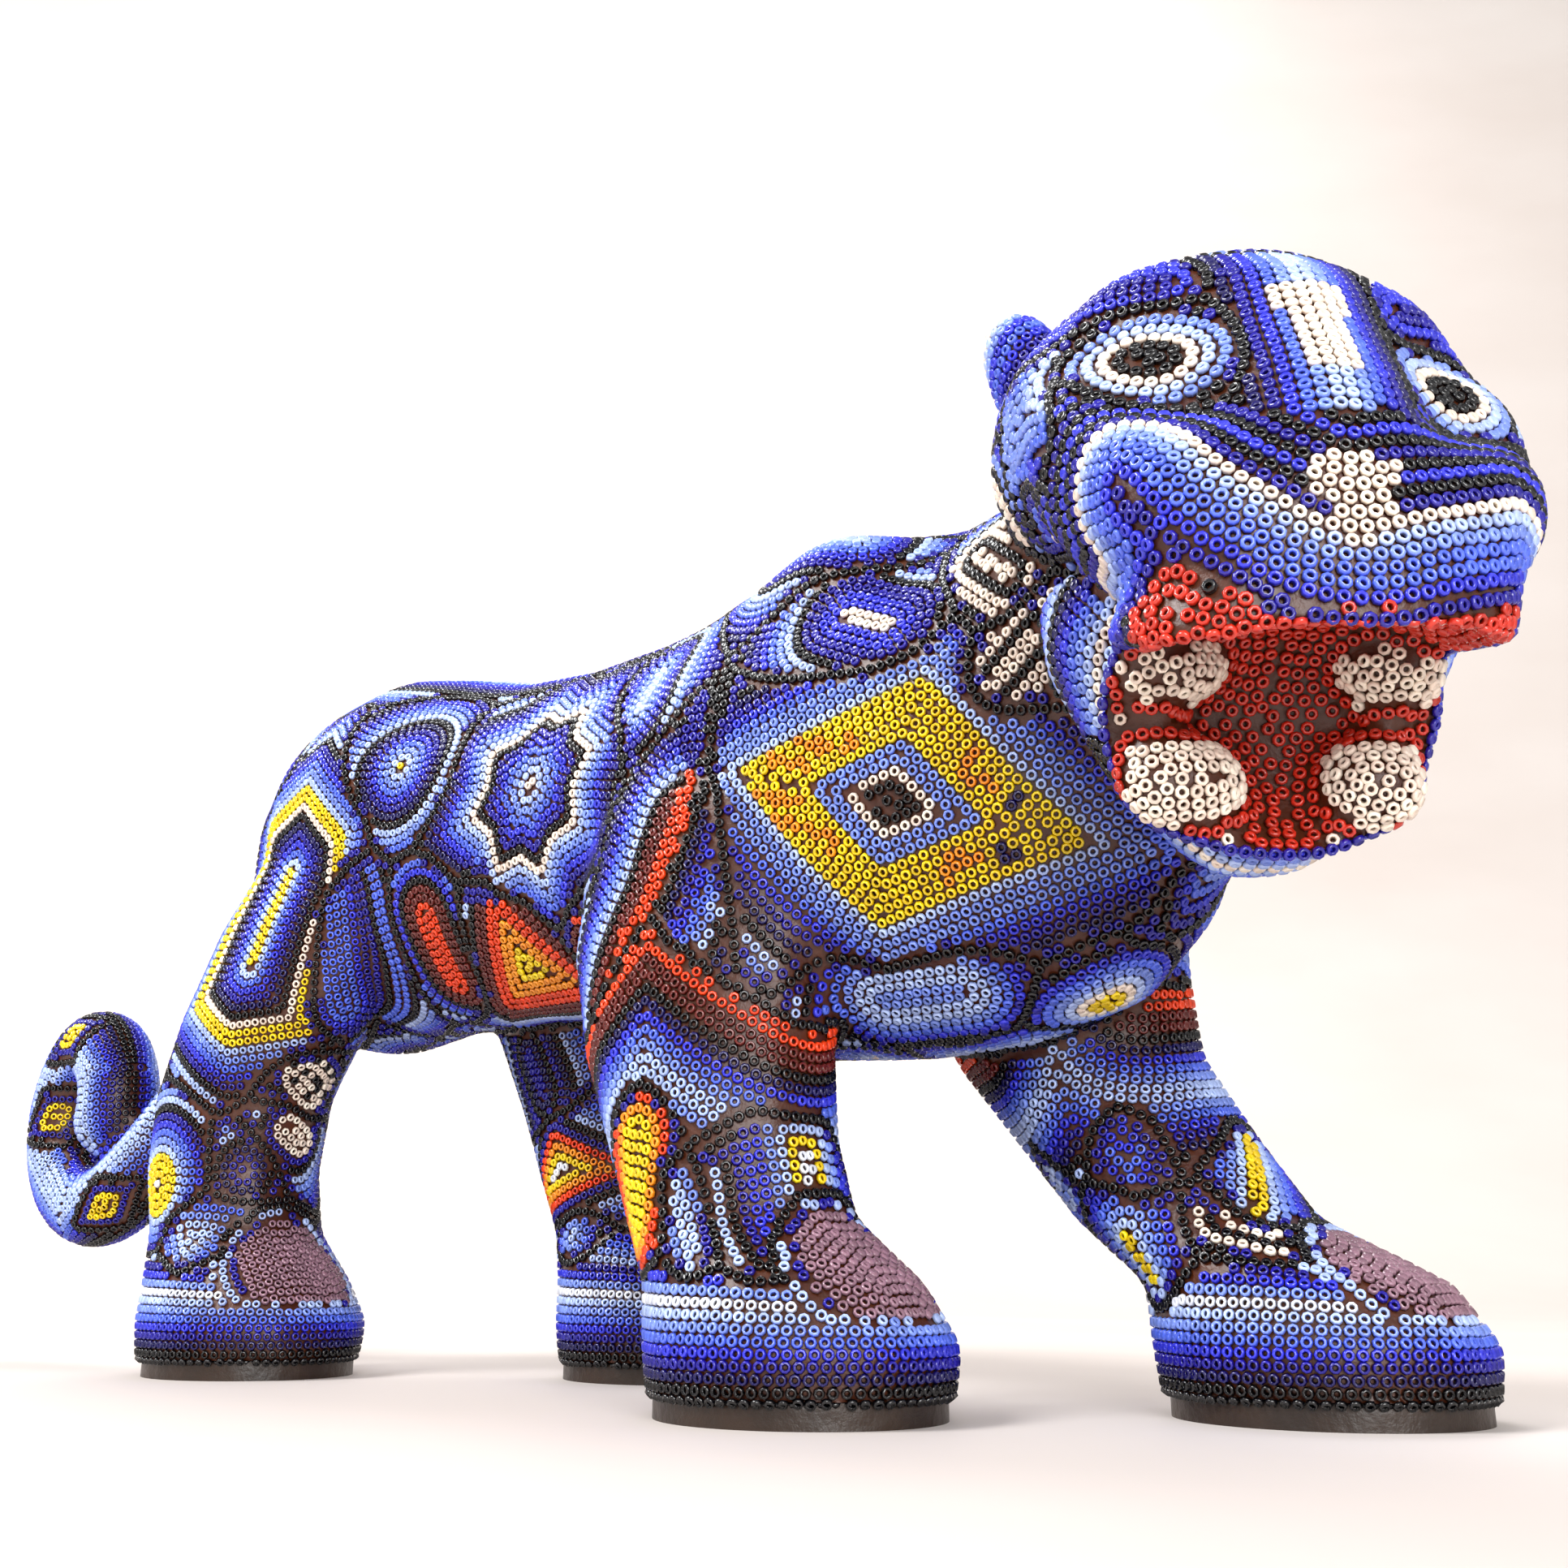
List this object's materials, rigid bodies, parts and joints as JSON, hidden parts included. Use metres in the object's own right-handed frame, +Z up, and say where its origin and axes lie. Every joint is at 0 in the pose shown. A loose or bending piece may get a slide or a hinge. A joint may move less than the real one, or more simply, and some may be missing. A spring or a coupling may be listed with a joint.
{
  "type": "beaded figure",
  "caption": "Standing big cat with head turned and mouth open, carved wood under beeswax and glass seed beads, in patterned rows.",
  "frame": {"origin": "middle of the figure's plan box, on the surface it stands on", "axes": "+X towards the chest, +Y to the animal's left, +Z up"},
  "size_m": [0.437, 0.1342, 0.1865],
  "materials": {
    "pine_wood": "carved soft wood, unfinished",
    "dowel_wood": "turned dowel, glued",
    "beeswax": "beeswax and pine resin, warm brown, softly glossy",
    "dark_wax": "smoothed dark wax, softly glossy",
    "mauve_beads": "opaque mauve glass seed beads",
    "cream_beads": "opaque cream glass seed beads",
    "black_beads": "opaque black glass seed beads",
    "red_beads": "opaque brick red glass seed beads",
    "blue_beads": "opaque glass seed beads, mostly blues, with black, cream, yellow, orange and red in patterns"
  },
  "bodies": {
    "root": {"beads_ear_left": "blue_beads", "beads_ear_right": "blue_beads", "beads_head": "blue_beads", "beads_jaw": "blue_beads", "beads_leg_front_left": "blue_beads", "beads_leg_front_right": "blue_beads", "beads_leg_rear_left": "blue_beads", "beads_leg_rear_right": "blue_beads", "beads_neck": "blue_beads", "beads_tail": "blue_beads", "beads_trunk": "blue_beads", "core_ear_left": "pine_wood", "core_ear_right": "pine_wood", "core_head": "pine_wood", "core_jaw": "pine_wood", "core_leg_front_left": "pine_wood", "core_leg_front_right": "pine_wood", "core_leg_rear_left": "pine_wood", "core_leg_rear_right": "pine_wood", "core_neck": "pine_wood", "core_tail": "pine_wood", "core_trunk": "pine_wood", "eye_left": "black_beads", "eye_right": "black_beads", "fang_lower_left": "cream_beads", "fang_lower_right": "cream_beads", "fang_upper_left": "cream_beads", "fang_upper_right": "cream_beads", "mouth_lining": "red_beads", "peg_head": "dowel_wood", "peg_leg_front_left": "dowel_wood", "peg_leg_front_right": "dowel_wood", "peg_leg_rear_left": "dowel_wood", "peg_leg_rear_right": "dowel_wood", "peg_neck": "dowel_wood", "peg_tail": "dowel_wood", "sole_front_left": "dark_wax", "sole_front_right": "dark_wax", "sole_rear_left": "dark_wax", "sole_rear_right": "dark_wax", "toe_cap_front_left": "mauve_beads", "toe_cap_front_right": "mauve_beads", "toe_cap_rear_left": "mauve_beads", "toe_cap_rear_right": "mauve_beads", "wax_ear_left": "beeswax", "wax_ear_right": "beeswax", "wax_head": "beeswax", "wax_jaw": "beeswax", "wax_leg_front_left": "beeswax", "wax_leg_front_right": "beeswax", "wax_leg_rear_left": "beeswax", "wax_leg_rear_right": "beeswax", "wax_neck": "beeswax", "wax_tail": "beeswax", "wax_trunk": "beeswax"}
  },
  "joints": []
}
